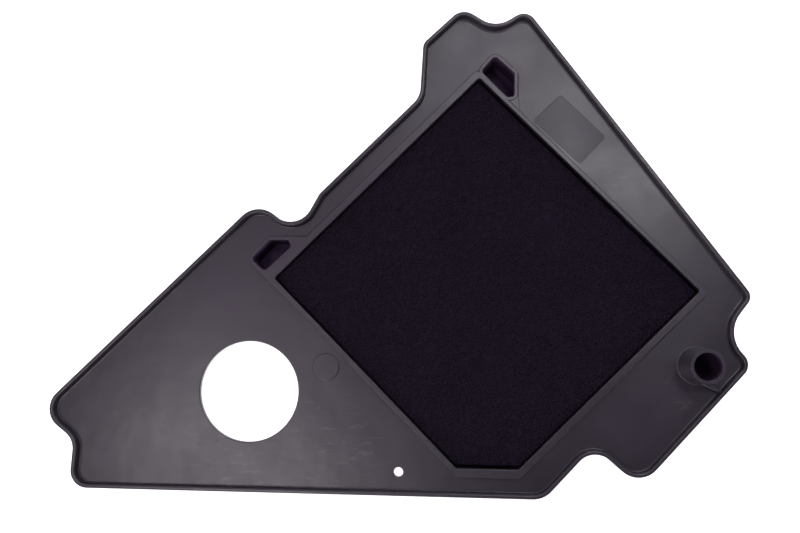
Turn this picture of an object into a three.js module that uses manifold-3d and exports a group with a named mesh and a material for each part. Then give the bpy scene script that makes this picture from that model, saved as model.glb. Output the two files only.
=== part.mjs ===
// Filter element plate of a small engine's air box, lying on its back with the foam side up.
// Units are millimetres. +X runs along the long straight edge, +Z points out of the foam face.
import * as THREE from "three";
import { mergeVertices } from "three/addons/utils/BufferGeometryUtils.js";
import Module from "manifold-3d";

const wasm = await Module();
wasm.setup();

// ---- driving dimensions -------------------------------------------------------------------

const GAP = 0.3; // clearance between pieces that touch
const ARC_STEP = THREE.MathUtils.degToRad(13);

// Heights above the surface that the rear frame rests on.
const REAR_FRAME_TOP = 3.2;
const POCKET_BOTTOM = REAR_FRAME_TOP + GAP;
const SKIRT_BOTTOM = 11;
const FLOOR_BOTTOM = 14;
const FLOOR_TOP = 16;
const COLLAR_TOP = 19; // top of the raised collar around the foam
const RIM_TOP = 19.5;
const STUB_TOP = 32;

// Plate corners before rounding: x, y, fillet radius, counter-clockwise from the lower left.
// The five hollow corners clear the screw bosses of the air box.
const PLATE_CORNERS = [
  [-119.2, -89.3, 6.5],
  [55.1, -89.3, 9.0],
  [72.7, -70.2, 7.5],
  [88.8, -84.2, 8.5],
  [128.5, -40.5, 5.0],
  [118.9, -30.0, 11.0],
  [129.0, -16.4, 4.0],
  [49.1, 90.6, 5.0],
  [37.5, 83.6, 9.5],
  [25.0, 91.6, 6.0],
  [10.4, 78.1, 4.5],
  [9.4, 57.5, 8.5],
  [-27.8, 20.8, 3.0],
  [-36.3, 5.2, 8.5],
  [-50.9, 18.3, 9.0],
  [-132.3, -61.1, 8.0],
  [-118.2, -71.7, 7.5],
];
const RIM_WALL = 1.5;
const CHANNEL_WIDTH = 3.4; // seal channel behind the rim
const CHANNEL_WALL = 1.2;

// Foam pocket: a rectangle turned by 45 degrees, its lowest corner cut off level.
const POCKET_CENTRE = [33.25, -12.75];
const POCKET_SIDES = {
  topRight: { normal: 45, distance: 53.5, wall: 1.7 },
  topLeft: { normal: 135, distance: 56, wall: 2.9 },
  lowerLeft: { normal: 225, distance: 53.5, wall: 1.8 },
  bottom: { normal: 270, distance: 66.3, wall: 3.3 },
  lowerRight: { normal: 315, distance: 56, wall: 2.7 },
};
const POCKET_WALL_BELOW = 1.8; // wall of the pocket behind the plate

const FOAM_CLEARANCE = 0.6;
const FINE_FOAM = { bottom: 4.7, top: 10.1 };
const COARSE_FOAM = { bottom: FINE_FOAM.top + GAP, top: 17.3 };
const SCREEN = { bottom: REAR_FRAME_TOP + GAP, top: 4.3, clearance: 0.5 };

// Round opening, with a collar behind it that the duct's end goes into.
const DUCT = { x: -53.2, y: -53, radius: 18.6, collarInner: 22.6, collarOuter: 24.2, collarBottom: 7.5 };
const DUCT_SEAL = { inner: 20.1, bottom: 10.7, lip: 0.3 };

const VENT_HOLE = { x: 2.9, y: -81.2, radius: 1.75 };
const STUB = { x: 109.7, y: -41.3, baseRadius: 6.5, topRadius: 5.95, bore: 4.8, boreBottom: 12, socketBottom: 10.6 };
const STUB_RIB = { from: [108.2, -46.2], to: [118.2, -50.6], width: 1.2, highEnd: 21.5, lowEnd: RIM_TOP - 1 };

// Blind pockets at two corners of the collar: corners before rounding, and the wall round each.
const WINDOWS = [
  [[32.3, 67.1, 1.4], [41.9, 57.2, 1.8], [44.4, 57.4, 1.2], [44.4, 66.2, 0.9], [37.3, 72.9, 1.6]],
  [[-48.0, -8.4, 1.8], [-38.2, 0.8, 1.4], [-39.3, 3.3, 1.0], [-46.2, 3.3, 1.4], [-53.0, -4.0, 1.4]],
];
const WINDOW_WALL = 1.5;
// Solid places between the windows and the collar: a bar beside each, and a web at the top one.
const FILLERS = [
  { from: [-48.6, -10.4], to: [-36.7, 0.9], width: 1.6 },
  { from: [32.0, 66.3], to: [41.3, 56.7], width: 1.5 },
];
const WEB = [[41.5, 55.5, 0.4], [46.8, 51.0, 0.4], [46.0, 58.5, 0.4]];
const WINDOW_FLOOR = 6.4;
const SHROUD_BOTTOM = 5;

// Snap lugs of the rear frame, which click over wedges on the upper left pocket wall.
const LUG_PLACES = [-21, 25]; // along that wall, from its middle
const LUG = { width: 8, thickness: 1.5, top: 9.6, slotWidth: 5.8, slotBottom: 5.2, slotTop: 8.6 };
const WEDGE = { width: 5, reach: 1.4, bottom: 5.6, top: 8.2 };

const BOSSES = [
  { x: -24.5, y: -43.6, toward: 45 },
  { x: 83.5, y: -52.3, toward: 135 },
  { x: 84.5, y: 24.3, toward: 225 },
];
const BOSS_RADIUS = 4;
const BOSS_BOTTOM = 4.9;
const SCREW_HOLE = { radius: 1.7, top: 12.6 };
const EAR = { radius: 5, reach: 9, bottom: 2.2, top: 4.6, hole: 1.9 };
const SCREW = { headRadius: 2.8, headBottom: 0.2, headTop: 1.9, shankRadius: 1.4, tip: 11.6 };

const GRILLE = { bar: 1.8, pitchAcross: 16, pitchAlong: 15.3, lip: 3 };

// ---- outlines -----------------------------------------------------------------------------

const direction = (degrees) => {
  const angle = THREE.MathUtils.degToRad(degrees);
  return [Math.cos(angle), Math.sin(angle)];
};

// Where two lines meet, each given by a point and a direction.
function meet([px, py], [dx, dy], [qx, qy], [ex, ey]) {
  const t = ((qx - px) * ey - (qy - py) * ex) / (dx * ey - dy * ex);
  return [px + dx * t, py + dy * t];
}

// Moves every side of a counter-clockwise outline inwards and keeps its fillets parallel.
function insetCorners(corners, inset) {
  const side = (index) => {
    const [x0, y0] = corners.at(index);
    const [x1, y1] = corners[(index + 1 + corners.length) % corners.length];
    const length = Math.hypot(x1 - x0, y1 - y0);
    const along = [(x1 - x0) / length, (y1 - y0) / length];
    return { point: [x0 - along[1] * inset, y0 + along[0] * inset], along };
  };
  return corners.map(([, , radius], index) => {
    const before = side(index - 1);
    const after = side(index);
    const [x, y] = meet(before.point, before.along, after.point, after.along);
    const turn = before.along[0] * after.along[1] - before.along[1] * after.along[0];
    return [x, y, Math.max(radius - Math.sign(turn) * inset, 0.4)];
  });
}

// Replaces each corner by an arc that is tangent to its two sides. Where two arcs would need more
// than the whole of the side between them, both shrink to fit it.
function roundedPoints(corners) {
  const count = corners.length;
  const bends = corners.map(([x, y, radius], index) => {
    const [ax, ay] = corners.at(index - 1);
    const [bx, by] = corners[(index + 1) % count];
    const arriving = Math.atan2(y - ay, x - ax);
    const leaving = Math.atan2(by - y, bx - x);
    const turn = Math.atan2(Math.sin(leaving - arriving), Math.cos(leaving - arriving));
    const tangent = radius * Math.tan(Math.abs(turn) / 2);
    return { x, y, radius, arriving, turn, tangent, after: Math.hypot(bx - x, by - y) };
  });
  return bends.flatMap(({ x, y, radius, arriving, turn, tangent, after }, index) => {
    const previous = bends.at(index - 1);
    const next = bends[(index + 1) % count];
    const shrink = Math.min(1, previous.after / (tangent + previous.tangent), after / (tangent + next.tangent));
    const arc = radius * shrink;
    const side = Math.sign(turn);
    const centreX = x - Math.cos(arriving) * tangent * shrink - Math.sin(arriving) * arc * side;
    const centreY = y - Math.sin(arriving) * tangent * shrink + Math.cos(arriving) * arc * side;
    const steps = Math.max(1, Math.ceil(Math.abs(turn) / ARC_STEP));
    return Array.from({ length: steps + 1 }, (_, step) => {
      const angle = arriving - (side * Math.PI) / 2 + (turn * step) / steps;
      return new THREE.Vector2(centreX + arc * Math.cos(angle), centreY + arc * Math.sin(angle));
    });
  });
}

// Pocket outline with each side moved outwards by grow, a number or a function of the side.
function pocketCorners(grow, radius) {
  const amount = typeof grow === "function" ? grow : () => grow;
  const lines = Object.values(POCKET_SIDES).map((side) => {
    const [nx, ny] = direction(side.normal);
    const reach = side.distance + amount(side);
    return { point: [POCKET_CENTRE[0] + nx * reach, POCKET_CENTRE[1] + ny * reach], along: [-ny, nx] };
  });
  return lines.map((line, index) => {
    const next = lines[(index + 1) % lines.length];
    return [...meet(line.point, line.along, next.point, next.along), radius];
  });
}

// ---- solids -------------------------------------------------------------------------------

function solid(geometry) {
  geometry.deleteAttribute("normal");
  geometry.deleteAttribute("uv");
  const merged = mergeVertices(geometry, 1e-4);
  return new wasm.Manifold(
    new wasm.Mesh({
      numProp: 3,
      vertProperties: new Float32Array(merged.attributes.position.array),
      triVerts: new Uint32Array(merged.index.array),
    }),
  );
}

function prism(corners, bottom, top) {
  const geometry = new THREE.ExtrudeGeometry(new THREE.Shape(roundedPoints(corners)), {
    depth: top - bottom,
    bevelEnabled: false,
    steps: 1,
  });
  geometry.translate(0, 0, bottom);
  return solid(geometry);
}

const ring = (outer, inner, bottom, top) =>
  prism(outer, bottom, top).subtract(prism(inner, bottom - 1, top + 1));

function cylinder(x, y, radius, bottom, top, { topRadius = radius, sides = 32 } = {}) {
  const geometry = new THREE.CylinderGeometry(topRadius, radius, top - bottom, sides);
  geometry.rotateX(Math.PI / 2);
  geometry.translate(x, y, (bottom + top) / 2);
  return solid(geometry);
}

// A ring of revolution about a vertical axis; profile is a closed list of radius and height.
function revolved(x, y, profile, sides = 48) {
  const points = [...profile, profile[0]].map(([radius, height]) => new THREE.Vector2(radius, height));
  const geometry = new THREE.LatheGeometry(points, sides);
  geometry.rotateX(Math.PI / 2);
  geometry.translate(x, y, 0);
  return solid(geometry);
}

// An upright slab along a direction: centre, angle, length, width, bottom and top.
function slab(x, y, angle, length, width, bottom, top) {
  const geometry = new THREE.BoxGeometry(length, width, top - bottom);
  geometry.rotateZ(THREE.MathUtils.degToRad(angle));
  geometry.translate(x, y, (bottom + top) / 2);
  return solid(geometry);
}

function slabBetween([x0, y0], [x1, y1], width, bottom, top) {
  const angle = THREE.MathUtils.radToDeg(Math.atan2(y1 - y0, x1 - x0));
  return slab((x0 + x1) / 2, (y0 + y1) / 2, angle, Math.hypot(x1 - x0, y1 - y0), width, bottom, top);
}

const union = (pieces) => pieces.reduce((sum, piece) => sum.add(piece));

// ---- housing plate ------------------------------------------------------------------------

// Upright rib whose top slopes from the stub down to the rim.
function stubRib() {
  const { from, to, width, highEnd, lowEnd } = STUB_RIB;
  const length = Math.hypot(to[0] - from[0], to[1] - from[1]);
  const side = new THREE.Shape([
    new THREE.Vector2(0, FLOOR_TOP - 0.5),
    new THREE.Vector2(length, FLOOR_TOP - 0.5),
    new THREE.Vector2(length, lowEnd),
    new THREE.Vector2(0, highEnd),
  ]);
  const geometry = new THREE.ExtrudeGeometry(side, { depth: width, bevelEnabled: false });
  geometry.translate(0, 0, -width / 2);
  geometry.rotateX(Math.PI / 2);
  geometry.rotateZ(Math.atan2(to[1] - from[1], to[0] - from[0]));
  geometry.translate(from[0], from[1], 0);
  return solid(geometry);
}

// Thin ribs behind the floor, from the pocket and the duct collar out to the seal channel.
function rearRibs() {
  const ribs = [
    [[-44, -14], [-66, -9]],
    [[-14, -57], [-30.3, -55]],
    [[-53, -30.2], [-53, -3]],
    [[-76, -55], [-119, -60]],
    [[-53, -75.8], [-53, -86]],
    [[-4, -68], [-16, -86]],
    [[60, -68], [66, -78]],
    [[94, -34], [104, -38]],
    [[74, 24], [84, 34]],
    [[50, 50], [62, 58]],
    [[-4, 31], [-8, 36]],
  ];
  return union(ribs.map(([from, to]) => slabBetween(from, to, 1.2, SKIRT_BOTTOM + 0.5, FLOOR_BOTTOM + 0.5)));
}

function ductCollar() {
  const { x, y, collarInner, collarOuter, collarBottom } = DUCT;
  const outside = cylinder(x, y, collarOuter, collarBottom, FLOOR_BOTTOM + 0.5, { sides: 48 });
  return outside.subtract(cylinder(x, y, collarInner, collarBottom - 1, FLOOR_TOP, { sides: 48 }));
}

// A slab on the outside of the upper left pocket wall: place along the wall, how far it starts and
// ends from the wall's face, width, bottom and top.
function wallSlab(place, start, end, width, bottom, top) {
  const { normal, distance } = POCKET_SIDES.topLeft;
  const [nx, ny] = direction(normal);
  const reach = distance + POCKET_WALL_BELOW + (start + end) / 2;
  const x = POCKET_CENTRE[0] + nx * reach + ny * place;
  const y = POCKET_CENTRE[1] + ny * reach - nx * place;
  return slab(x, y, normal - 90, width, end - start, bottom, top);
}

const wedge = (place) => wallSlab(place, -0.5, WEDGE.reach, WEDGE.width, WEDGE.bottom, WEDGE.top);

function housingPlate() {
  const outer = PLATE_CORNERS;
  const channelOuter = insetCorners(outer, RIM_WALL);
  const channelInner = insetCorners(outer, RIM_WALL + CHANNEL_WIDTH);
  const channelBack = insetCorners(outer, RIM_WALL + CHANNEL_WIDTH + CHANNEL_WALL);
  const grownWindows = WINDOWS.map((corners) => insetCorners(corners, -WINDOW_WALL));

  const shell = union([
    prism(outer, SKIRT_BOTTOM, RIM_TOP)
      .subtract(prism(channelOuter, FLOOR_TOP, RIM_TOP + 1))
      .subtract(prism(channelOuter, SKIRT_BOTTOM - 1, FLOOR_BOTTOM)),
    ring(channelInner, channelBack, SKIRT_BOTTOM + 0.5, FLOOR_BOTTOM + 0.5),
    rearRibs().intersect(prism(channelInner, SKIRT_BOTTOM, FLOOR_TOP)),
  ]);

  const raised = union([
    prism(pocketCorners((side) => side.wall, 2), FLOOR_TOP - 0.5, COLLAR_TOP),
    prism(pocketCorners(POCKET_WALL_BELOW, 1.5), POCKET_BOTTOM, FLOOR_TOP - 0.5),
    ...grownWindows.map((corners) => prism(corners, SHROUD_BOTTOM, COLLAR_TOP)),
    ...FILLERS.map(({ from, to, width }) => slabBetween(from, to, width, FLOOR_TOP - 0.5, COLLAR_TOP)),
    prism(WEB, FLOOR_TOP - 0.5, COLLAR_TOP - 0.3),
    ductCollar(),
    ...LUG_PLACES.map(wedge),
    cylinder(STUB.x, STUB.y, STUB.baseRadius, FLOOR_TOP - 0.5, STUB_TOP, { topRadius: STUB.topRadius }),
    cylinder(STUB.x, STUB.y, STUB.baseRadius - 0.3, STUB.socketBottom, FLOOR_BOTTOM + 0.5),
    stubRib(),
    ...BOSSES.map(({ x, y }) => cylinder(x, y, BOSS_RADIUS, BOSS_BOTTOM, FLOOR_BOTTOM + 0.5, { sides: 24 })),
  ]);

  const cuts = union([
    prism(pocketCorners(0, 1), POCKET_BOTTOM - 1, COLLAR_TOP + 1),
    ...WINDOWS.map((corners) => prism(corners, WINDOW_FLOOR, COLLAR_TOP + 1)),
    cylinder(DUCT.x, DUCT.y, DUCT.radius, 0, RIM_TOP, { sides: 48 }),
    cylinder(VENT_HOLE.x, VENT_HOLE.y, VENT_HOLE.radius, 0, RIM_TOP, { sides: 20 }),
    cylinder(STUB.x, STUB.y, STUB.bore, STUB.boreBottom, STUB_TOP + 1),
    ...BOSSES.map(({ x, y }) => cylinder(x, y, SCREW_HOLE.radius, 0, SCREW_HOLE.top, { sides: 16 })),
  ]);
  return shell.add(raised).subtract(cuts);
}

// ---- rear frame ---------------------------------------------------------------------------

function snapLug(place) {
  const { width, thickness, top, slotWidth, slotBottom, slotTop } = LUG;
  return wallSlab(place, GAP, GAP + thickness, width, 0, top)
    .subtract(wallSlab(place, 0, 3, slotWidth, slotBottom, slotTop))
    .add(wallSlab(place, -2, GAP + thickness, width, 0, REAR_FRAME_TOP));
}

function rearFrame() {
  const outline = pocketCorners(POCKET_WALL_BELOW, 1.5);
  const window = pocketCorners(-GRILLE.lip, 1);
  const [cx, cy] = POCKET_CENTRE;
  const reach = 160;
  const bars = [];
  for (let index = -3; index <= 3; index += 1) {
    const [ax, ay] = direction(315).map((part) => part * index * GRILLE.pitchAcross);
    const [bx, by] = direction(45).map((part) => part * index * GRILLE.pitchAlong);
    bars.push(slab(cx + ax, cy + ay, 45, reach, GRILLE.bar, 0.6, REAR_FRAME_TOP - 0.2));
    bars.push(slab(cx + bx, cy + by, 315, reach, GRILLE.bar, 0.6, REAR_FRAME_TOP - 0.2));
  }
  const ears = BOSSES.map(({ x, y, toward }) => {
    const [tx, ty] = direction(toward);
    const arm = slabBetween([x, y], [x + tx * EAR.reach, y + ty * EAR.reach], 2 * EAR.radius, EAR.bottom, REAR_FRAME_TOP);
    return cylinder(x, y, EAR.radius, EAR.bottom, EAR.top, { sides: 24 }).add(arm);
  });
  return union([
    ring(outline, window, 0, REAR_FRAME_TOP),
    union(bars).intersect(prism(pocketCorners(-GRILLE.lip / 2, 1), 0, REAR_FRAME_TOP)),
    ...ears,
    ...LUG_PLACES.map(snapLug),
  ]).subtract(union(BOSSES.map(({ x, y }) => cylinder(x, y, EAR.hole, 0, EAR.top + 1, { sides: 16 }))));
}

// ---- foam, screen, seals and screws -------------------------------------------------------

const foam = ({ bottom, top }) => prism(pocketCorners(-FOAM_CLEARANCE, 1), bottom, top);

const wireScreen = () => prism(pocketCorners(-SCREEN.clearance, 1), SCREEN.bottom, SCREEN.top);

function rimSeal() {
  const outer = insetCorners(PLATE_CORNERS, RIM_WALL + GAP);
  const inner = insetCorners(PLATE_CORNERS, RIM_WALL + CHANNEL_WIDTH - GAP);
  return ring(outer, inner, SKIRT_BOTTOM - 0.8, FLOOR_BOTTOM - GAP);
}

function ductSeal() {
  const { inner, bottom, lip } = DUCT_SEAL;
  const outer = DUCT.collarInner - GAP;
  const top = FLOOR_BOTTOM - GAP;
  return revolved(DUCT.x, DUCT.y, [
    [inner, bottom + lip],
    [inner + lip, bottom],
    [outer, bottom],
    [outer, top],
    [inner, top],
  ]);
}

function screw({ x, y }) {
  const { headRadius, headBottom, headTop, shankRadius, tip } = SCREW;
  const slot = { length: 3.2, width: 0.8, depth: 0.9 };
  const crown = 0.5;
  return union([
    cylinder(x, y, headRadius - crown, headBottom, headBottom + crown, { topRadius: headRadius, sides: 20 }),
    cylinder(x, y, headRadius, headBottom + crown, headTop, { sides: 20 }),
    cylinder(x, y, shankRadius, headTop - crown, tip, { sides: 12 }),
  ])
    .subtract(slab(x, y, 30, slot.length, slot.width, headBottom - 1, headBottom + slot.depth))
    .subtract(slab(x, y, 120, slot.length, slot.width, headBottom - 1, headBottom + slot.depth));
}

// ---- the part -----------------------------------------------------------------------------

const FINISHES = {
  plastic: { color: 0x3a353d, roughness: 0.42, metalness: 0 },
  rear_plastic: { color: 0x2f2d31, roughness: 0.5, metalness: 0 },
  coarse_foam: { color: 0x120d14, roughness: 1, metalness: 0 },
  fine_foam: { color: 0x1f1c22, roughness: 1, metalness: 0 },
  wire: { color: 0x9a9a9c, roughness: 0.4, metalness: 0.9 },
  rubber: { color: 0x1b1b1c, roughness: 0.8, metalness: 0 },
  steel: { color: 0x8d8f93, roughness: 0.35, metalness: 0.9 },
};

const part = new THREE.Group();

function addPiece(name, finish, body) {
  const { numProp, vertProperties, triVerts } = body.getMesh();
  if (numProp !== 3) throw new Error(`${name} has more than positions`);
  const geometry = new THREE.BufferGeometry();
  geometry.setAttribute("position", new THREE.BufferAttribute(new Float32Array(vertProperties), 3));
  geometry.setIndex(new THREE.BufferAttribute(new Uint32Array(triVerts), 1));
  geometry.computeVertexNormals();
  const mesh = new THREE.Mesh(geometry, new THREE.MeshStandardMaterial(FINISHES[finish]));
  mesh.name = name;
  part.add(mesh);
}

addPiece("housing_plate", "plastic", housingPlate());
addPiece("rear_frame", "rear_plastic", rearFrame());
addPiece("foam_coarse", "coarse_foam", foam(COARSE_FOAM));
addPiece("foam_fine", "fine_foam", foam(FINE_FOAM));
addPiece("wire_screen", "wire", wireScreen());
addPiece("rim_seal", "rubber", rimSeal());
addPiece("duct_seal", "rubber", ductSeal());
BOSSES.forEach((boss, index) => addPiece(`frame_screw_${index + 1}`, "steel", screw(boss)));

export default part;
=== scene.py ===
"""Looks of the air filter plate of a small engine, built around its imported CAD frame."""
import math

import bmesh
import bpy
import numpy as np
from mathutils import Matrix, Vector, noise


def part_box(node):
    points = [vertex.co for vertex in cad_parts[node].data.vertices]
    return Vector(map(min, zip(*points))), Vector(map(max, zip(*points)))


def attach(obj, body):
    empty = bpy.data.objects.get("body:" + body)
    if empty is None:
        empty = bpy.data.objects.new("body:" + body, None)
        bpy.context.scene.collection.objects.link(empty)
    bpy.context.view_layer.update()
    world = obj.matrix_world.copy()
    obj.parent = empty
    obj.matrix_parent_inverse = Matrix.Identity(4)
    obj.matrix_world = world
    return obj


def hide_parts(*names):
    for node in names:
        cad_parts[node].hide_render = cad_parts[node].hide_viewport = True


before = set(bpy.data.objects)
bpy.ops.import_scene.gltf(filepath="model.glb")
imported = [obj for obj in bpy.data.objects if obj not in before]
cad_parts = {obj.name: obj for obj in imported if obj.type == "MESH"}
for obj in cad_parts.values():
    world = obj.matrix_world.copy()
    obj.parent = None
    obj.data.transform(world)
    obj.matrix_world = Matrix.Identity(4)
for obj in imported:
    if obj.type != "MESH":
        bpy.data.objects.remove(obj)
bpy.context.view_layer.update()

MM = 0.001

# ---- sizes in millimetres, in the frame's own axes ------------------------------------------

REAR_FRAME_TOP = 3.2
POCKET_FLOOR_BOTTOM = 3.5
SKIRT_BOTTOM = 11.0
FLOOR_BOTTOM = 14.0
FLOOR_TOP = 16.0
COLLAR_TOP = 19.0
RIM_TOP = 19.5
BURIED = 15.5  # inside the floor, where the pieces on its front and back meet it
STUB_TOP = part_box("housing_plate")[1].z / MM

# Every outline is a list of corners, counter-clockwise, each with its radius.
PLATE_CORNERS = [
    (-119.2, -89.3, 6.5), (55.1, -89.3, 9.0), (72.7, -70.2, 7.5), (88.8, -84.2, 8.5),
    (128.5, -40.5, 5.0), (118.9, -30.0, 11.0), (129.0, -16.4, 4.0), (49.1, 90.6, 5.0),
    (37.5, 83.6, 9.5), (25.0, 91.6, 6.0), (10.4, 78.1, 4.5), (9.4, 57.5, 8.5),
    (-27.8, 20.8, 3.0), (-36.3, 5.2, 8.5), (-50.9, 18.3, 9.0), (-132.3, -61.1, 8.0),
    (-118.2, -71.7, 7.5),
]
# Behind the rim: how far the seal channel's middle and its inner wall's faces lie in from the outline.
CHANNEL_MIDDLE = 3.2
CHANNEL_INNER = 4.9
CHANNEL_BACK = 6.1

POCKET_CENTRE = (33.25, -12.75)
# Direction of each pocket side's outward normal, its distance from the centre and its wall.
POCKET_SIDES = [(45, 53.5, 1.7), (135, 56.0, 2.9), (225, 53.5, 1.8), (270, 66.3, 3.3), (315, 56.0, 2.7)]
POCKET_WALL_BELOW = 1.8

WINDOWS = [
    [(32.3, 67.1, 1.4), (41.9, 57.2, 1.8), (44.4, 57.4, 1.2), (44.4, 66.2, 0.9), (37.3, 72.9, 1.6)],
    [(-48.0, -8.4, 1.8), (-38.2, 0.8, 1.4), (-39.3, 3.3, 1.0), (-46.2, 3.3, 1.4), (-53.0, -4.0, 1.4)],
]
WINDOW_WALL = 1.5
WINDOW_FLOOR = 6.4
SHROUD_BOTTOM = 5.0
# Short walls that close the gaps between each window's wall and the collar: start, end and width.
FILLERS = [((-47.5, -9.4), (-36.7, 0.9), 1.6), ((32.0, 66.3), (41.3, 56.7), 1.5)]
WEB = [(41.5, 55.5, 0.4), (46.8, 51.0, 0.4), (46.0, 58.5, 0.4)]
# Where the left window's wall runs smoothly into the collar's, at its lower and its upper end.
BLENDS = [
    [(-53.2, -5.8, 0.5), (-28.5, -29.2, 0.4), (-36.0, -14.0, 0.4), (-47.0, -3.0, 0.4)],
    [(-38.8, 1.0, 0.4), (-35.5, -0.5, 0.4), (-31.5, 4.8, 0.4), (-39.5, 4.8, 0.4)],
]
LUG_PLACES = (-21, 25)  # snap lugs along the upper left pocket wall, from its middle

DUCT = (-53.2, -53.0)
DUCT_RADIUS = 18.6
DUCT_COLLAR = (22.6, 24.2)
VENT = (2.9, -81.2)
STUB = (109.7, -41.3)
STUB_BORE = 4.8
# Screw bosses: place, and the direction of the pocket from there.
BOSSES = [(-24.5, -43.6, 45), (83.5, -52.3, 135), (84.5, 24.3, 225)]
PATCH = [(61.8, 58.5, 1.0), (51.9, 48.9, 1.0), (68.7, 32.6, 1.0), (78.0, 42.4, 1.0)]  # shallow recess
PLATE_SCUFFS = [((-62, -79, 16), 22), ((-20, -74, 16), 26), ((104.7, -51.7, 16), 9), ((78, 24, 16), 16)]
FOAM_GAPS = [0.7, 0.1, 0.1, 0.7, 0.1]  # between the foam and each pocket side
SMOOTH_ARC = math.radians(5)

WIRE_RADIUS = 0.17
WIRE_PITCH = 3.2
WIRE_WAVE = 0.19
WIRE_MIDDLE = 3.9  # height of the woven sheet's middle

# ---- studio sizes in metres --------------------------------------------------------------------

SOFTBOX_HEIGHT = 0.92
# Each softbox aims at the origin: its place, size, watts and colour.
SOFTBOXES = {
    "far_softbox": ((0.06, 0.40), (0.18, 0.18), 0.95, (0.97, 0.93, 1.0)),
    "right_softbox": ((0.22, 0.22), (0.16, 0.16), 1.15, (0.98, 0.95, 1.0)),
    "near_softbox": ((-0.28, -0.25), (0.38, 0.14), 1.85, (1.0, 0.92, 0.98)),
    "left_fill": ((-0.24, 0.12), (0.40, 0.30), 0.45, (0.92, 0.75, 1.0)),
    "right_fill": ((0.40, 0.0), (0.25, 0.25), 0.08, (0.95, 0.82, 1.0)),
}
WORLD_COLOUR = (0.88, 0.72, 1.0, 1)
WORLD_STRENGTH = 0.17
FLOOR_SIZE = 6
FLOOR_HEIGHT = -0.5 * MM  # just below the rear frame's flat back
WALL_RADIUS = 2.9
WALL_HEIGHT = 1.7

# ---- camera and light ------------------------------------------------------------------------


def add_camera():
    """Camera almost straight above the plate, tipped and rolled a little."""
    camera = bpy.data.objects.new("camera", bpy.data.cameras.new("camera"))
    bpy.context.scene.collection.objects.link(camera)
    camera.data.lens = 40.05
    camera.data.sensor_width = 36
    camera.data.clip_start = 0.01
    place = Vector((28.6, -37.4, 344.3)) * MM
    target = Vector((2.5, -6.1, 16.0)) * MM
    roll = math.radians(0.77)
    forward = (target - place).normalized()
    right = forward.cross(Vector((0, 1, 0))).normalized()
    up = right.cross(forward)
    right_rolled = right * math.cos(roll) + up * math.sin(roll)
    up_rolled = up * math.cos(roll) - right * math.sin(roll)
    turn = Matrix((right_rolled, up_rolled, -forward)).transposed()
    camera.matrix_world = Matrix.Translation(place) @ turn.to_4x4()
    bpy.context.scene.camera = camera


def add_softbox(name, place, size, power, colour):
    light = bpy.data.lights.new(name, "AREA")
    light.shape = "RECTANGLE"
    light.size, light.size_y = size
    light.energy = power
    light.color = colour
    lamp = bpy.data.objects.new(name, light)
    lamp.location = (*place, SOFTBOX_HEIGHT)
    lamp.rotation_euler = (-lamp.location).to_track_quat("-Z", "Y").to_euler()
    bpy.context.scene.collection.objects.link(lamp)


def add_studio():
    """Soft light from above, and a pale floor with a pale wall all round it."""
    world = bpy.data.worlds.new("studio")
    world.use_nodes = True
    world.node_tree.nodes["Background"].inputs["Color"].default_value = WORLD_COLOUR
    world.node_tree.nodes["Background"].inputs["Strength"].default_value = WORLD_STRENGTH
    bpy.context.scene.world = world
    for name, settings in SOFTBOXES.items():
        add_softbox(name, *settings)
    bpy.context.scene.view_settings.view_transform = "Standard"
    pale = floor_finish()
    bpy.ops.mesh.primitive_plane_add(size=FLOOR_SIZE, location=(0, 0, FLOOR_HEIGHT))
    add_backdrop("studio_floor", pale)
    bpy.ops.mesh.primitive_cylinder_add(
        vertices=96, radius=WALL_RADIUS, depth=WALL_HEIGHT, end_fill_type="NOTHING",
        location=(0, 0, WALL_HEIGHT / 2),
    )
    add_backdrop("studio_wall", pale)


def add_backdrop(name, finish):
    backdrop = bpy.context.object
    backdrop.name = name
    backdrop.data.materials.append(finish)


# ---- outlines ----------------------------------------------------------------------------------


def unit(degrees):
    """Direction as a vector of length one, counter-clockwise from +X."""
    return math.cos(math.radians(degrees)), math.sin(math.radians(degrees))


def meet(p, d, q, e):
    """Where the line through p along d crosses the line through q along e."""
    t = ((q[0] - p[0]) * e[1] - (q[1] - p[1]) * e[0]) / (d[0] * e[1] - d[1] * e[0])
    return p[0] + d[0] * t, p[1] + d[1] * t


def inset_corners(corners, inset):
    """The corners of a counter-clockwise outline with every side moved inwards."""
    sides = []
    for index, (x0, y0, _) in enumerate(corners):
        x1, y1, _ = corners[(index + 1) % len(corners)]
        length = math.hypot(x1 - x0, y1 - y0)
        along = ((x1 - x0) / length, (y1 - y0) / length)
        sides.append(((x0 - along[1] * inset, y0 + along[0] * inset), along))
    moved = []
    for index, (_, _, radius) in enumerate(corners):
        (p, d), (q, e) = sides[index - 1], sides[index]
        turn = math.copysign(1, d[0] * e[1] - d[1] * e[0])
        moved.append((*meet(p, d, q, e), max(radius - turn * inset, 0.3)))
    return moved


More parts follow.
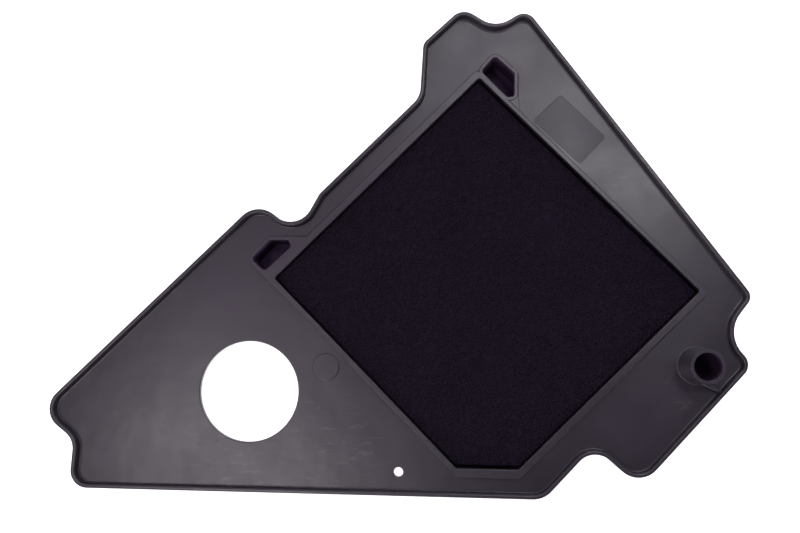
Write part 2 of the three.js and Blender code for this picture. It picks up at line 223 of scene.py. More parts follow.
def rounded(corners, step=SMOOTH_ARC):
    """Points of an outline whose corners are arcs tangent to the sides on either hand."""
    bends = []
    for index, (x, y, radius) in enumerate(corners):
        ax, ay, _ = corners[index - 1]
        bx, by, _ = corners[(index + 1) % len(corners)]
        arriving = math.atan2(y - ay, x - ax)
        turn = math.atan2(by - y, bx - x) - arriving
        turn = math.atan2(math.sin(turn), math.cos(turn))
        tangent = radius * math.tan(abs(turn) / 2)
        bends.append((arriving, turn, tangent, math.hypot(bx - x, by - y)))
    points = []
    for index, (x, y, radius) in enumerate(corners):
        arriving, turn, tangent, after = bends[index]
        before = bends[index - 1][3] / (tangent + bends[index - 1][2])
        following = after / (tangent + bends[(index + 1) % len(bends)][2])
        shrink = min(1, before, following)
        side = math.copysign(1, turn)
        arc = radius * shrink
        cx = x - math.cos(arriving) * tangent * shrink - math.sin(arriving) * arc * side
        cy = y - math.sin(arriving) * tangent * shrink + math.cos(arriving) * arc * side
        steps = max(2, math.ceil(abs(turn) / step - 1e-6))
        for number in range(steps + 1):
            angle = arriving - side * math.pi / 2 + turn * number / steps
            points.append((cx + arc * math.cos(angle), cy + arc * math.sin(angle)))
    return points


def pocket_corners(grow, radius):
    """The foam pocket's outline; grow moves its sides outwards, by one amount or one for each side."""
    amounts = grow if isinstance(grow, (list, tuple)) else [grow] * len(POCKET_SIDES)
    lines = []
    for (normal, distance, _), amount in zip(POCKET_SIDES, amounts):
        nx, ny = unit(normal)
        reach = distance + amount
        lines.append(((POCKET_CENTRE[0] + nx * reach, POCKET_CENTRE[1] + ny * reach), (-ny, nx)))
    return [(*meet(*lines[i], *lines[(i + 1) % len(lines)]), radius) for i in range(len(lines))]


# ---- mesh pieces -------------------------------------------------------------------------------


def new_object(name, vertices, faces):
    """Mesh object from points in millimetres."""
    mesh = bpy.data.meshes.new(name)
    mesh.from_pydata([Vector(v) * MM for v in vertices], [], faces)
    work = bmesh.new()
    work.from_mesh(mesh)
    bmesh.ops.remove_doubles(work, verts=work.verts, dist=1e-7)
    bmesh.ops.recalc_face_normals(work, faces=work.faces)
    work.to_mesh(mesh)
    work.free()
    obj = bpy.data.objects.new(name, mesh)
    bpy.context.scene.collection.objects.link(obj)
    return obj


def loft(name, rings, closed=False):
    """Skin over rings of equal length. An open loft gets a flat cap on each end."""
    count = len(rings[0])
    vertices = [point for ring in rings for point in ring]
    faces = []
    for r in range(len(rings) if closed else len(rings) - 1):
        a, b = r * count, ((r + 1) % len(rings)) * count
        faces += [(a + i, a + (i + 1) % count, b + (i + 1) % count, b + i) for i in range(count)]
    if not closed:
        faces.append(tuple(reversed(range(count))))
        faces.append(tuple(range((len(rings) - 1) * count, len(rings) * count)))
    return new_object(name, vertices, faces)


def swept(name, corners, profile, closed=False):
    """Solid whose outline is inset by a different amount at each height: profile is (inset, z)."""
    rings = [[(x, y, z) for x, y in rounded(inset_corners(corners, inset))] for inset, z in profile]
    return loft(name, rings, closed)


def turned(name, x, y, profile, sides=96, closed=False):
    """Solid of revolution about an upright axis: profile is (radius, z)."""
    angles = [2 * math.pi * i / sides for i in range(sides)]
    rings = [[(x + r * math.cos(a), y + r * math.sin(a), z) for a in angles] for r, z in profile]
    return loft(name, rings, closed)


def slab(name, x, y, angle, length, width, bottom, top, bevel=0.25):
    """Upright block along a direction, its edges rounded by bevel."""
    bpy.ops.mesh.primitive_cube_add(size=1)
    obj = bpy.context.object
    obj.name = name
    obj.data.transform(Matrix.Diagonal((length * MM, width * MM, (top - bottom) * MM, 1)))
    work = bmesh.new()
    work.from_mesh(obj.data)
    if bevel:
        bmesh.ops.bevel(work, geom=work.edges[:], offset=bevel * MM, segments=2, affect="EDGES", profile=0.6)
    work.to_mesh(obj.data)
    work.free()
    place = Matrix.Translation(Vector((x, y, (bottom + top) / 2)) * MM)
    obj.data.transform(place @ Matrix.Rotation(math.radians(angle), 4, "Z"))
    return obj


def slab_between(name, start, end, width, bottom, top, bevel=0.25):
    """Upright block whose middle runs from one point to another."""
    (x0, y0), (x1, y1) = start, end
    angle = math.degrees(math.atan2(y1 - y0, x1 - x0))
    length = math.hypot(x1 - x0, y1 - y0)
    return slab(name, (x0 + x1) / 2, (y0 + y1) / 2, angle, length, width, bottom, top, bevel)


def carve(base, others, operation):
    """Joins the other solids to base, cuts them from it or keeps the overlap, and removes them."""
    for other in others:
        modifier = base.modifiers.new("carve", "BOOLEAN")
        modifier.solver = "MANIFOLD"
        modifier.operation = operation
        modifier.object = other
    bpy.context.view_layer.update()
    done = bpy.data.meshes.new_from_object(base.evaluated_get(bpy.context.evaluated_depsgraph_get()))
    base.modifiers.clear()
    base.data = done
    for other in others:
        bpy.data.objects.remove(other)
    return base


def shade(obj, sharp_angle=32):
    """Smooth shading that keeps flat faces flat and sharp edges sharp."""
    mesh = obj.data
    mesh.shade_smooth()
    mesh.set_sharp_from_angle(angle=math.radians(sharp_angle))
    modifier = obj.modifiers.new("normals", "WEIGHTED_NORMAL")
    modifier.mode = "FACE_AREA"
    modifier.keep_sharp = True
    modifier.weight = 80
    bpy.context.view_layer.update()
    obj.data = bpy.data.meshes.new_from_object(obj.evaluated_get(bpy.context.evaluated_depsgraph_get()))
    obj.modifiers.clear()


def settle(obj, body, slot_name, finish, *nodes, sharp_angle=32):
    """Last steps of every piece: shading, material, body and the CAD nodes that it stands for."""
    shade(obj, sharp_angle)
    obj.data.materials.clear()
    obj.data.materials.append(finish)
    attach(obj, body)
    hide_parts(*nodes)
    return obj


# ---- housing plate -----------------------------------------------------------------------------


def edge_in(z):
    """Rounded edge of 0.35 mm as (inset, z) pairs, running up into a top face at z."""
    return [(0.0, z - 0.35), (0.05, z - 0.17), (0.17, z - 0.05), (0.35, z)]


def foot(z, reach):
    """Small fillet where a wall stands on a face at z, as (inset, z) pairs running up."""
    angles = [math.radians(a) for a in (0, 22, 45, 67, 90)]
    flare = [(-reach * (1 - math.sin(a)), z + reach * (1 - math.cos(a))) for a in angles]
    return [(flare[0][0] - 0.3, z - 0.4)] + flare


def cut_profile(bottom, top):
    """Cutter that flares out at the top face, which leaves a rounded edge there."""
    flare = [(-0.05, top - 0.17), (-0.17, top - 0.05), (-0.45, top + 0.03), (-0.6, top + 2)]
    return [(0, bottom), (0, top - 0.35)] + flare


def hanging(bottom):
    """Profile of a wall that hangs below the floor, with a chamfer along its lower edge."""
    return [(0.3, bottom), (0, bottom + 0.3), (0, BURIED)]


def plate_shell():
    """Floor, rim and skirt, from the floor's back round the skirt and the rim to its front."""
    skirt_inside = [(1.9, FLOOR_BOTTOM), (1.62, 13.9), (1.5, 13.6), (1.5, 11.3), (1.38, 11.08)]
    skirt_edge = [(1.15, SKIRT_BOTTOM), (0.4, SKIRT_BOTTOM), (0.12, 11.1), (0.0, 11.4)]
    rim_outer_edge = [(0.0, RIM_TOP - 0.45), (0.06, RIM_TOP - 0.2), (0.2, RIM_TOP - 0.06), (0.42, RIM_TOP)]
    rim_inner_edge = [(1.0, RIM_TOP), (1.24, RIM_TOP - 0.06), (1.4, RIM_TOP - 0.2), (1.48, RIM_TOP - 0.45)]
    rim_foot = [(1.6, 16.6), (1.66, 16.3), (1.8, 16.1), (2.1, FLOOR_TOP)]
    profile = skirt_inside + skirt_edge + rim_outer_edge + rim_inner_edge + rim_foot
    return swept("plate", PLATE_CORNERS, profile)


def channel_wall():
    """Inner wall of the seal channel, behind the floor."""
    profile = [
        (CHANNEL_INNER, 14.4), (CHANNEL_INNER, 11.75), (CHANNEL_INNER + 0.25, 11.5),
        (CHANNEL_BACK - 0.25, 11.5), (CHANNEL_BACK, 11.75), (CHANNEL_BACK, 14.4),
    ]
    return swept("channel_wall", PLATE_CORNERS, profile, closed=True)


def raised_pieces():
    """Everything that stands on the plate's front or back."""
    walls = [wall for _, _, wall in POCKET_SIDES]
    web_profile = [(0, BURIED), (0, COLLAR_TOP - 0.5), (0.2, COLLAR_TOP - 0.3)]
    mark_profile = [(5.0, BURIED), (5.0, 16.12), (4.9, 16.28), (4.6, 16.34)]
    collar_profile = foot(FLOOR_TOP, 0.5) + edge_in(COLLAR_TOP)
    pieces = [
        channel_wall(),
        swept("collar", pocket_corners(walls, 2), collar_profile),
        swept("pocket_wall", pocket_corners(POCKET_WALL_BELOW, 1.5), hanging(POCKET_FLOOR_BOTTOM)),
        turned("duct_collar", *DUCT, duct_collar_profile(), closed=True),
        stub_tube(),
        stub_rib(),
        turned("disc_mark", *BOSSES[0][:2], mark_profile),
        *[slab_between("filler", start, end, width, BURIED, COLLAR_TOP, 0) for start, end, width in FILLERS],
        swept("web", WEB, web_profile),
        *[swept("blend", corners, collar_profile) for corners in BLENDS],
        slab_between("flow_line", (102, -43.9), (89.4, -62.6), 0.5, BURIED, 16.07, 0.05),
        slab("nib_left", -89.5, -88.9, 0, 1.5, 1.0, 11.6, 13.4),
        slab("nib_right", -16.9, -88.9, 0, 1.1, 0.9, 11.6, 13.0),
    ]
    for corners in WINDOWS:
        grown = inset_corners(corners, -WINDOW_WALL)
        pieces.append(swept("window_wall", grown, foot(FLOOR_TOP, 0.4) + edge_in(COLLAR_TOP)))
        pieces.append(swept("shroud", grown, hanging(SHROUD_BOTTOM)))
    for x, y, _ in BOSSES:
        pieces.append(turned("boss", x, y, [(3.7, 4.9), (4, 5.2), (4, 14.5)], sides=48))
    return pieces + [wedge(place) for place in LUG_PLACES] + rear_ribs()


def duct_collar_profile():
    """Ring behind the duct opening, which holds the duct's seal."""
    inner, outer = DUCT_COLLAR
    return [(inner, 14.5), (inner, 7.9), (inner + 0.4, 7.5), (outer - 0.3, 7.5), (outer, 7.8), (outer, 14.5)]


def wall_point(place, out):
    """Point beside the upper left pocket wall: along it from its middle, and out from its face."""
    normal, distance, _ = POCKET_SIDES[1]
    nx, ny = unit(normal)
    reach = distance + POCKET_WALL_BELOW + out
    return POCKET_CENTRE[0] + nx * reach + ny * place, POCKET_CENTRE[1] + ny * reach - nx * place


def wedge(place, width=5.0, reach=1.4, bottom=5.6, top=8.2):
    """Catch with a flat top side and a sloping lower side, which a snap lug rides over."""
    rings = []
    for along in (place - width / 2, place + width / 2):
        slope = [(-0.5, bottom), (0.3, bottom), (reach - 0.2, top - 0.9)]
        nose = [(reach, top - 0.6), (reach, top - 0.1), (reach - 0.1, top), (-0.5, top)]
        rings.append([(*wall_point(along, out), z) for out, z in slope + nose])
    return loft("wedge", rings)


def stub_tube():
    """Tapered stub with a small fillet at its foot, and a socket below the floor."""
    base, top = 6.5, 5.95
    profile = [(base - 0.6, 10.6), (base - 0.3, 10.9), (base - 0.3, 15.0), (base + 0.6, 15.6)]
    profile += [(base + 0.6, FLOOR_TOP), (base + 0.3, 16.1), (base + 0.08, 16.3), (base, 16.7)]
    profile += [(top, STUB_TOP - 0.15), (top - 0.04, STUB_TOP - 0.04), (top - 0.15, STUB_TOP)]
    return turned("stub", *STUB, profile)


def stub_rib():
    """Thin rib that slopes down from the stub to the rim."""
    start, end, width = Vector((108.2, -46.2)), Vector((118.2, -50.6)), 1.2
    along = (end - start).normalized()
    across = Vector((-along.y, along.x)) * width / 2
    rings = []
    for place, high in ((start, 21.5), (end, RIM_TOP - 1)):
        left, right = place + across, place - across
        inner_left, inner_right = place + across * 0.55, place - across * 0.55
        rings.append([
            (*right, BURIED), (*right, high - 0.25), (*inner_right, high),
            (*inner_left, high), (*left, high - 0.25), (*left, BURIED),
        ])
    return loft("stub_rib", rings)


def rear_ribs():
    """Stiffening ribs behind the floor, out of the pocket and the duct's collar."""
    lines = [
        ((-44, -14), (-66, -9)), ((-14, -57), (-30.3, -55)), ((-53, -30.2), (-53, -3)),
        ((-76, -55), (-119, -60)), ((-53, -75.8), (-53, -86)), ((-4, -68), (-16, -86)),
        ((60, -68), (66, -78)), ((94, -34), (104, -38)), ((74, 24), (84, 34)),
        ((50, 50), (62, 58)), ((-4, 31), (-8, 36)),
    ]
    bottom, top = SKIRT_BOTTOM + 0.5, FLOOR_BOTTOM + 0.5
    return [slab_between("rib", start, end, 1.2, bottom, top) for start, end in lines]


def plate_cuts():
    """Everything that is cut from the plate; the openings in its front have rounded edges."""
    cuts = [
        swept("pocket_cut", pocket_corners(0, 1), cut_profile(2, COLLAR_TOP)),
        turned("duct_cut", *DUCT, rounded_hole(DUCT_RADIUS, 6, FLOOR_TOP, 0.3)),
        swept("patch_cut", PATCH, [(0, FLOOR_TOP - 0.14), (-0.2, FLOOR_TOP - 0.03), (-0.4, FLOOR_TOP + 1)]),
        turned("vent_cut", *VENT, rounded_hole(1.75, 10, FLOOR_TOP, 0.3), sides=40),
        turned("stub_bore", *STUB, rounded_hole(STUB_BORE, 12, STUB_TOP, 0.12)),
    ]
    for corners in WINDOWS:
        cuts.append(swept("window_cut", corners, cut_profile(WINDOW_FLOOR, COLLAR_TOP)))
    screw_hole = [(1.9, 4), (1.9, 5.1), (1.7, 5.4), (1.7, 12.6)]
    for x, y, _ in BOSSES:
        cuts.append(turned("screw_hole", x, y, screw_hole, sides=32))
    return cuts


def rounded_hole(radius, bottom, top, edge):
    """Cutter for a round hole whose front edge is rounded by edge, as (radius, z) pairs."""
    rise = [(0.0, 1.0), (0.08, 0.6), (0.3, 0.29), (0.7, 0.08), (1.2, -0.02)]
    mouth = [(radius + edge * out, top - edge * down) for out, down in rise]
    return [(radius, bottom), *mouth, (radius + edge * 1.5, top + 2)]


def build_plate():
    """The whole moulding; its window and bore walls, and the patch, are duller than the rest; the window and
    bore walls also get a lighter colour, painted light against their shade.
    """
    plate = carve(plate_shell(), raised_pieces(), "UNION")
    carve(plate, plate_cuts(), "DIFFERENCE")
    finish = plastic_finish("plate_plastic", scuffs=PLATE_SCUFFS)
    settle(plate, "plate", "plate_plastic", finish, "housing_plate")
    plate.data.materials.append(dull_core_finish_painted_light("plate_plastic_cores_painted_light"))
    plate.data.materials.append(plastic_finish("plate_plastic_patch", rough=(0.34, 0.43)))
    for face in plate.data.polygons:
        corners = [plate.data.vertices[index].co / MM for index in face.vertices]
        in_window = any(all(inside(corner, outline) for corner in corners) for outline in WINDOWS)
        in_bore = all(math.dist(corner[:2], STUB) < STUB_BORE + 0.1 for corner in corners)
        if (in_window or in_bore) and face.center.z / MM > WINDOW_FLOOR - 0.5:
            face.material_index = 1
        elif all(inside(corner, PATCH) for corner in corners) and face.center.z / MM > FLOOR_TOP - 0.5:
            face.material_index = 2


def inside(where, corners, slack=0.3):
    """Whether a point lies in a convex counter-clockwise outline, give or take slack."""
    return all(
        (bx - ax) * (where.y - ay) - (by - ay) * (where.x - ax) > -slack * math.hypot(bx - ax, by - ay)
        for (ax, ay, _), (bx, by, _) in zip(corners, corners[1:] + corners[:1])
    )


# ---- rear frame --------------------------------------------------------------------------------


def snap_lug(place):
    """Arm outside the pocket wall with a slot that clicks over the wall's wedge."""
    angle, width, tip = 45, 8.0, 9.6
    arm = slab("lug", *wall_point(place, 1.05), angle, width, 1.5, 0, tip, 0.3)
    root = slab("lug_root", *wall_point(place, 0.0), angle, width, 3.6, 0, REAR_FRAME_TOP, 0.3)
    slot = slab("lug_slot", *wall_point(place, 1.5), angle, 5.8, 4, 5.2, 8.6, 0)
    carve(arm, [root], "UNION")
    return carve(arm, [slot], "DIFFERENCE")


def grille_bars():
    """Two sets of seven bars that cross behind the pocket."""
    bars = []
    for index in range(-3, 4):
        for aside, heading, pitch in ((315, 45, 16), (45, 315, 15.3)):
            x, y = (part * index * pitch for part in unit(aside))
            place = (POCKET_CENTRE[0] + x, POCKET_CENTRE[1] + y)
            bars.append(slab("bar", *place, heading, 160, 1.8, 0.6, 3.0, 0.35))
    return bars


def build_rear_frame():
    """Border and grille behind the pocket, with snap lugs on one side and screwed ears."""
    top = REAR_FRAME_TOP
    border = [(0.35, 0), (4.45, 0), (4.8, 0.35), (4.8, 2.9), (4.5, top), (0.3, top), (0, 2.9), (0, 0.35)]
    frame_piece = swept("rear_frame_look", pocket_corners(POCKET_WALL_BELOW, 1.5), border, closed=True)
    bars = grille_bars()
    grille = carve(bars[0], bars[1:], "UNION")
    carve(grille, [swept("limit", pocket_corners(-1.5, 1), [(0, -1), (0, 5)])], "INTERSECT")
    pieces = [grille] + [snap_lug(place) for place in LUG_PLACES]
    for x, y, toward in BOSSES:
        tx, ty = unit(toward)
        inner_end = (x + tx * 9, y + ty * 9)
        pieces.append(slab_between("ear_arm", (x, y), inner_end, 10, 2.2, REAR_FRAME_TOP, 0.3))
        pieces.append(turned("ear", x, y, [(4.7, 2.2), (5, 2.5), (5, 4.3), (4.7, 4.6)], sides=64))
    carve(frame_piece, pieces, "UNION")
    holes = [turned("ear_hole", x, y, [(1.9, 0), (1.9, 6)], sides=32) for x, y, _ in BOSSES]
    carve(frame_piece, holes, "DIFFERENCE")
    finish = plastic_finish("frame_plastic", (0.012, 0.011, 0.013), (0.02, 0.0185, 0.021))
    return settle(frame_piece, "plate", "frame_plastic", finish, "rear_frame")


# ---- foam --------------------------------------------------------------------------------------


def foam_block(name, gaps, bottom, top, grain, cell, pit, seed):
    """Foam cut from a slab: an even mesh of size grain, broken up into open cells pit deep."""
    corners = pocket_corners([-gap for gap in gaps], 1.2)
    lower = [(0.5, bottom), (0.1, bottom + 0.35), (0, bottom + 0.8)]
    upper = [(0, top - 0.8), (0.1, top - 0.35), (0.5, top)]
    block = swept(name, corners, lower + upper)
    turn = Matrix.Rotation(math.radians(-45), 4, "Z")
    block.data.transform(turn)
    remesh = block.modifiers.new("even", "REMESH")
    remesh.mode = "VOXEL"
    remesh.voxel_size = grain * MM
    bpy.context.view_layer.update()
    block.data = bpy.data.meshes.new_from_object(block.evaluated_get(bpy.context.evaluated_depsgraph_get()))
    block.modifiers.clear()
    block.data.transform(turn.inverted())
    mesh = block.data
    shift = Vector((seed * 3.7, seed * 1.9, seed * 5.3))
    count = len(mesh.vertices)
    places, normals = np.empty(count * 3), np.empty(count * 3)
    mesh.vertices.foreach_get("co", places)
    mesh.vertex_normals.foreach_get("vector", normals)
    places, normals = places.reshape(-1, 3), normals.reshape(-1, 3)
    depths = np.empty((count, 1))
    for index, place in enumerate(places):
        where = Vector(place) / MM
        near, far = noise.voronoi(where / cell + shift)[0][:2]
        sag = 0.22 * noise.noise(where / 24 + shift) + 0.10 * noise.noise(where / 6 + shift)
        depths[index] = pit * min(1.0, (far - near) * 1.8) + sag + 0.1
    mesh.vertices.foreach_set("co", (places - normals * depths * MM).ravel())
    mesh.update()
    return block


def settle_foam(block, slot_name, node, colour, pores):
    settle(block, "foam_pad", slot_name, foam_finish(slot_name, colour, pores), node, sharp_angle=180)


def build_foam():
    coarse = foam_block("foam_coarse_look", FOAM_GAPS, 10.45, 17.45, grain=0.72, cell=1.25, pit=0.42, seed=1)
    settle_foam(coarse, "coarse_foam", "foam_coarse", (0.0078, 0.0050, 0.0106), 900)
    fine = foam_block("foam_fine_look", [0.6] * 5, 4.75, 10.15, grain=0.95, cell=0.9, pit=0.2, seed=2)
    settle_foam(fine, "fine_foam", "foam_fine", (0.016, 0.0145, 0.0175), 1400)


# ---- wire screen -------------------------------------------------------------------------------


def wire(start, end, offset, lift):
    """Points and faces of one woven wire, which goes over and under the wires it crosses."""
    a, b = Vector(start), Vector(end)
    length = (b - a).length
    along = (b - a) / length
    across = Vector((-along.y, along.x))
    sides = 6
    count = max(2, int(length / WIRE_PITCH * 4))
    vertices, faces = [], []
    for step in range(count + 1):
        reach = length * step / count
        centre = a + along * reach
        wave = WIRE_WAVE * math.sin(math.pi * (reach + offset) / WIRE_PITCH) * lift
        for side in range(sides):
            angle = 2 * math.pi * side / sides
            out = across * WIRE_RADIUS * math.cos(angle)
            height = WIRE_MIDDLE + wave + WIRE_RADIUS * math.sin(angle)
            vertices.append((centre.x + out.x, centre.y + out.y, height))
    for step in range(count):
        for side in range(sides):
            i, j = step * sides + side, step * sides + (side + 1) % sides
            faces.append((i, j, j + sides, i + sides))
    faces.append(tuple(reversed(range(sides))))
    faces.append(tuple(range(count * sides, (count + 1) * sides)))
    return vertices, faces


def clipped(origin, along, limits):
    """Ends of the line inside the pocket, as distances along it."""
    low, high = -200.0, 200.0  # farther than the pocket reaches
    for (normal, distance, _), limit in zip(POCKET_SIDES, limits):
        nx, ny = unit(normal)
        rate = along[0] * nx + along[1] * ny
        room = distance - limit - (origin[0] * nx + origin[1] * ny)
        if abs(rate) < 1e-6:
            if room <= 0:
                return None
        elif rate > 0:
            high = min(high, room / rate)
        else:
            low = max(low, room / rate)
    return (low, high) if high - low > 3 else None


def woven_wires():
    """Every wire of the screen, in two directions, as points and faces of one mesh."""
    vertices, faces = [], []
    for heading, crossing, phase in ((45, 315, -1), (315, 45, 1)):
        along, aside = unit(heading), unit(crossing)
        for number in range(-19, 20):
            origin = (aside[0] * (number + 0.5) * WIRE_PITCH, aside[1] * (number + 0.5) * WIRE_PITCH)
            span = clipped(origin, along, [1.2] * 5)
            if span is None:
                continue
            start = (POCKET_CENTRE[0] + origin[0], POCKET_CENTRE[1] + origin[1])
            ends = [(start[0] + along[0] * t, start[1] + along[1] * t) for t in span]
            lift = phase if number % 2 else -phase
            new_vertices, new_faces = wire(*ends, span[0], lift)
            base = len(vertices)
            vertices += new_vertices
            faces += [tuple(base + i for i in face) for face in new_faces]
    return vertices, faces


def build_screen():
    """Woven screen with a folded hem round its edge."""
    screen = new_object("wire_screen_look", *woven_wires())
    outside = [(0.1, 4.3), (0, 4.1), (0, 3.7)]
    inside_edge = [(0.1, 3.5), (2.6, 3.5), (2.8, 3.7), (2.8, 4.1), (2.6, 4.3)]
    hem = swept("hem", pocket_corners(-0.5, 1), inside_edge + outside, closed=True)
    work = bmesh.new()
    work.from_mesh(screen.data)
    work.from_mesh(hem.data)
    work.to_mesh(screen.data)
    work.free()
    bpy.data.objects.remove(hem)
    finish = metal_finish("screen_wire", (0.36, 0.36, 0.37), 0.38)
    return settle(screen, "plate", "screen_wire", finish, "wire_screen")


# ---- seals and screws --------------------------------------------------------------------------


def build_seals():
    """Rim seal: a cord with a round nose and a groove along each side. Duct seal: a grooved ring."""
    half = [
        (1.25, 13.7), (1.4, 13.5), (1.4, 12.9), (1.25, 12.6), (1.4, 12.3), (1.4, 11.2),
        (1.1, 10.6), (0.5, 10.22),
    ]
    cord = [(CHANNEL_MIDDLE - out, z) for out, z in half]
    cord += [(CHANNEL_MIDDLE, 10.2)] + [(CHANNEL_MIDDLE + out, z) for out, z in reversed(half)]
    finish = rubber_finish("seal_rubber")
    rim = swept("rim_seal_look", PLATE_CORNERS, cord, closed=True)
    settle(rim, "plate", "seal_rubber", finish, "rim_seal", sharp_angle=50)
    bore_side = [(20.1, 13.5), (20.1, 11.1), (20.2, 10.85), (20.45, 10.7)]
    collar_side = [(22.0, 10.7), (22.3, 11.0), (22.3, 11.7), (22.15, 12.0), (22.3, 12.3), (22.3, 13.4)]
    ring = bore_side + collar_side + [(22.0, 13.7), (20.3, 13.7)]
    duct = turned("duct_seal_look", *DUCT, ring, closed=True)
    settle(duct, "plate", "seal_rubber", finish, "duct_seal", sharp_angle=50)


def build_screws():
    """Pan head screws with a cross recess, whose threads are a stack of ridges."""
    finish = metal_finish("screw_steel", (0.5, 0.5, 0.52), 0.3)
    core, crest, thread_pitch, thread_end = 1.1, 1.4, 0.9, 11.0
    for number, (x, y, _) in enumerate(BOSSES, 1):
        profile = [(1.6, 0.2), (2.2, 0.32), (2.6, 0.62), (2.8, 1.05), (2.8, 1.75), (2.65, 1.9), (core, 1.9)]
        z = 2.3
        while z < thread_end:
            profile += [(core, z), (crest, z + 0.32), (core, z + 0.64)]
            z += thread_pitch
        profile += [(1.0, 11.2), (0.55, 11.6)]
        piece = turned(f"frame_screw_{number}_look", x, y, profile, sides=48)
        cross = [slab("cross", x, y, angle, 3.2, 0.75, -0.8, 1.1, 0) for angle in (30, 120)]
        carve(piece, cross, "DIFFERENCE")
        settle(piece, "plate", "screw_steel", finish, f"frame_screw_{number}")


# ---- finishes ----------------------------------------------------------------------------------


class Nodes:
    """A small builder for a material's node tree, with sizes in metres and scales per metre."""

    def __init__(self, name):
        self.material = bpy.data.materials.new(name)
        self.material.use_nodes = True
        self.tree = self.material.node_tree
        self.tree.nodes.clear()
        self.output = self.add("ShaderNodeOutputMaterial")
        self.shader = self.add("ShaderNodeBsdfPrincipled")
        self.link(self.shader, "BSDF", self.output, "Surface")
        self.place = self.add("ShaderNodeTexCoord")

    def add(self, kind, **values):
        node = self.tree.nodes.new(kind)
        for key, value in values.items():
            if hasattr(node, key) and key not in node.inputs:
                setattr(node, key, value)
            else:
                node.inputs[key].default_value = value
        return node

    def link(self, source, output, target, socket):
        self.tree.links.new(source.outputs[output], target.inputs[socket])

    def stretched(self, scale, angle=0):
        """Place on the object, stretched and turned about Z."""
        mapping = self.add("ShaderNodeMapping")
        mapping.inputs["Scale"].default_value = scale
        mapping.inputs["Rotation"].default_value = (0, 0, math.radians(angle))
        self.link(self.place, "Object", mapping, "Vector")
        return mapping

    def colour_from(self, source, low, high, end=0.7):
        """Base colour that runs between two colours with a noise."""
        self.link(self.ramp(source, "Fac", [(0.3, low), (end, high)]), "Color", self.shader, "Base Color")

    def roughness_from(self, source, low, high):
        """Roughness that runs between two values with a noise."""
        self.link(self.remap(source, "Fac", 0.3, 0.7, low, high), "Result", self.shader, "Roughness")

    def noise(self, scale, detail=3, stretch=(1, 1, 1), angle=0, roughness=0.55):
        node = self.add("ShaderNodeTexNoise", Scale=scale, Detail=detail, Roughness=roughness)
        self.link(self.stretched(stretch, angle), "Vector", node, "Vector")
        return node

    def spot(self, centre, radius):
        """Soft round mask about a place on the object, in millimetres."""
        away = self.add("ShaderNodeVectorMath", operation="DISTANCE")
        away.inputs[1].default_value = tuple(part * MM for part in centre)
        self.link(self.place, "Object", away, 0)
        return self.remap(away, "Value", radius * 0.3 * MM, radius * MM, 1, 0)

    def ramp(self, source, output, stops):
        node = self.add("ShaderNodeValToRGB")
        elements = node.color_ramp.elements
        while len(elements) < len(stops):
            elements.new(0.5)
        for element, (position, colour) in zip(elements, stops):
            element.position = position
            element.color = (*colour, 1) if len(colour) == 3 else colour
        self.link(source, output, node, "Fac")
        return node

    def remap(self, source, output, low, high, to_low, to_high):
        node = self.add("ShaderNodeMapRange")
        for socket, value in (("From Min", low), ("From Max", high), ("To Min", to_low), ("To Max", to_high)):
            node.inputs[socket].default_value = value
        self.link(source, output, node, "Value")
        return node

    def bump(self, source, output, strength, distance, below=None):
        node = self.add("ShaderNodeBump", Strength=strength, Distance=distance)
        self.link(source, output, node, "Height")
        if below is not None:
            self.link(below, "Normal", node, "Normal")
        return node


PLATE_DARK = (0.0135, 0.0098, 0.0165)
PLATE_LIGHT = (0.021, 0.0165, 0.0255)
SCUFF_COLOUR = (0.075, 0.072, 0.078, 1)


def plastic_finish(name, dark=PLATE_DARK, light=PLATE_LIGHT, scuffs=(), rough=(0.27, 0.35)):
    """Black moulded plastic: fine grain, slow gloss changes, faint flow streaks and rubbed places."""
    n = Nodes(name)
    tone = n.noise(28, 4)
    colour = n.ramp(tone, "Fac", [(0.3, dark), (0.7, light)])
    source = (colour, "Color")
    scratches = n.noise(700, 4, stretch=(0.25, 1, 1), angle=-25)
    for centre, radius in scuffs:
        mask = n.spot(centre, radius)
        cover = n.ramp(scratches, "Fac", [(0.56, (0, 0, 0)), (0.70, (0.5, 0.5, 0.5))])
        amount = n.add("ShaderNodeMath", operation="MULTIPLY")
        n.link(mask, "Result", amount, 0)
        n.link(cover, "Color", amount, 1)
        mixed = n.add("ShaderNodeMix", data_type="RGBA")
        mixed.inputs[7].default_value = SCUFF_COLOUR
        n.link(amount, "Value", mixed, 0)
        n.link(*source, mixed, 6)
        source = (mixed, 2)
    n.link(*source, n.shader, "Base Color")
    n.roughness_from(n.noise(45, 5, roughness=0.65), *rough)
    streaks = n.noise(120, 2, stretch=(0.12, 1, 1), angle=-45)
    grain = n.noise(2600, 2)
    waves = n.noise(60, 2)
    first = n.bump(grain, "Fac", 0.25, 0.00006)
    second = n.bump(streaks, "Fac", 0.25, 0.0001, first)
    third = n.bump(waves, "Fac", 0.5, 0.0003, second)
    n.link(third, "Normal", n.shader, "Normal")
    return n.material


def dull_core_finish_painted_light(name):
    """The same plastic where a coarse mould core left it dull, down in the blind pockets, in a lighter colour
    that is painted light against their shade.
    """
    n = Nodes(name)
    tone = n.noise(200, 4)
    # painted light: a base colour lighter than the plate's, which lifts the shade down in the pockets and the
    # bore; the dullness itself comes from the roughness
    n.colour_from(tone, (0.036, 0.022, 0.045), (0.055, 0.034, 0.069))
    n.roughness_from(tone, 0.85, 1.0)
    n.shader.inputs["Specular IOR Level"].default_value = 0.12
    n.link(n.bump(n.noise(900, 3), "Fac", 0.5, 0.0002), "Normal", n.shader, "Normal")
    return n.material


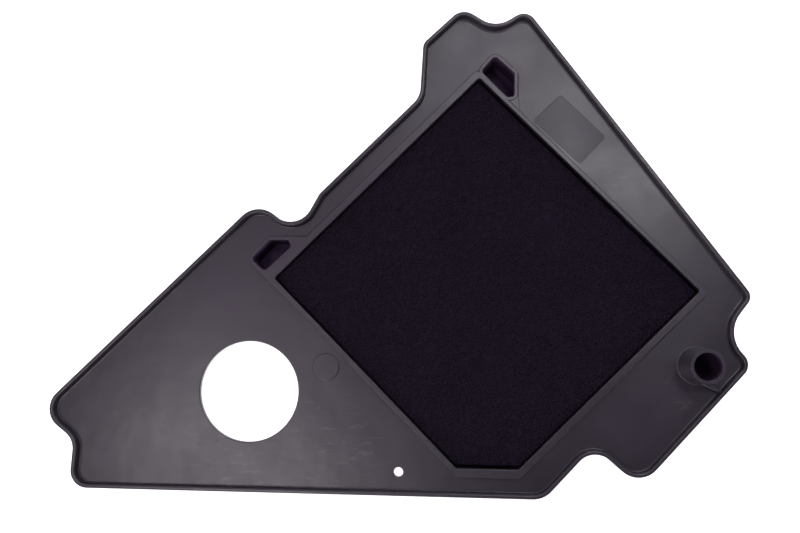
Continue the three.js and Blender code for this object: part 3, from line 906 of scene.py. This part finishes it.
def foam_finish(name, colour, cells):
    """Open-cell foam: a dark matt solid with painted shade in its pores, lighter at the cell edges."""
    n = Nodes(name)
    pores = n.add("ShaderNodeTexVoronoi", feature="DISTANCE_TO_EDGE", Scale=cells)
    n.link(n.stretched((1, 1, 1)), "Vector", pores, "Vector")
    patches = n.noise(60, 4)
    # painted shade: the pore middles take a darker copy of the foam colour, as if in shade, and the cell
    # edges a lighter one
    deep = tuple(part * 0.6 for part in colour)
    high = tuple(part * 1.5 for part in colour)
    painted_pore_shade = n.ramp(pores, "Distance", [(0.05, high), (0.3, deep)])
    slow = n.ramp(patches, "Fac", [(0.3, (0.8, 0.8, 0.8)), (0.7, (1.15, 1.15, 1.15))])
    mixed = n.add("ShaderNodeMix", data_type="RGBA", blend_type="MULTIPLY")
    mixed.inputs[0].default_value = 1
    n.link(painted_pore_shade, "Color", mixed, 6)
    n.link(slow, "Color", mixed, 7)
    n.link(mixed, 2, n.shader, "Base Color")
    n.roughness_from(patches, 0.9, 1.0)
    n.shader.inputs["Specular IOR Level"].default_value = 0.08
    edge = n.ramp(pores, "Distance", [(0.0, (1, 1, 1)), (0.3, (0, 0, 0))])
    n.link(n.bump(edge, "Color", 0.8, 0.0003), "Normal", n.shader, "Normal")
    return n.material


def rubber_finish(name):
    """Matt black rubber."""
    n = Nodes(name)
    tone = n.noise(60, 4)
    n.colour_from(tone, (0.012, 0.012, 0.013), (0.022, 0.022, 0.024))
    n.roughness_from(tone, 0.62, 0.78)
    n.link(n.bump(n.noise(1500, 3), "Fac", 0.3, 0.00008), "Normal", n.shader, "Normal")
    return n.material


def metal_finish(name, colour, roughness):
    """Plated steel, a little dulled in places."""
    n = Nodes(name)
    n.shader.inputs["Metallic"].default_value = 1
    tone = n.noise(300, 4)
    dull = tuple(part * 0.65 for part in colour)
    n.colour_from(tone, dull, colour, end=0.65)
    n.roughness_from(tone, roughness + 0.12, roughness - 0.05)
    n.link(n.bump(n.noise(1800, 2), "Fac", 0.2, 0.00005), "Normal", n.shader, "Normal")
    return n.material


def floor_finish():
    """White that glows enough to stay even round the object."""
    n = Nodes("studio_floor")
    n.shader.inputs["Base Color"].default_value = (0.9, 0.9, 0.9, 1)
    n.shader.inputs["Roughness"].default_value = 0.9
    n.shader.inputs["Emission Color"].default_value = (1, 1, 1, 1)
    n.shader.inputs["Emission Strength"].default_value = 0.85
    return n.material


# ---- the scene ---------------------------------------------------------------------------------

add_camera()
add_studio()
build_plate()
build_rear_frame()
build_foam()
build_screen()
build_seals()
build_screws()
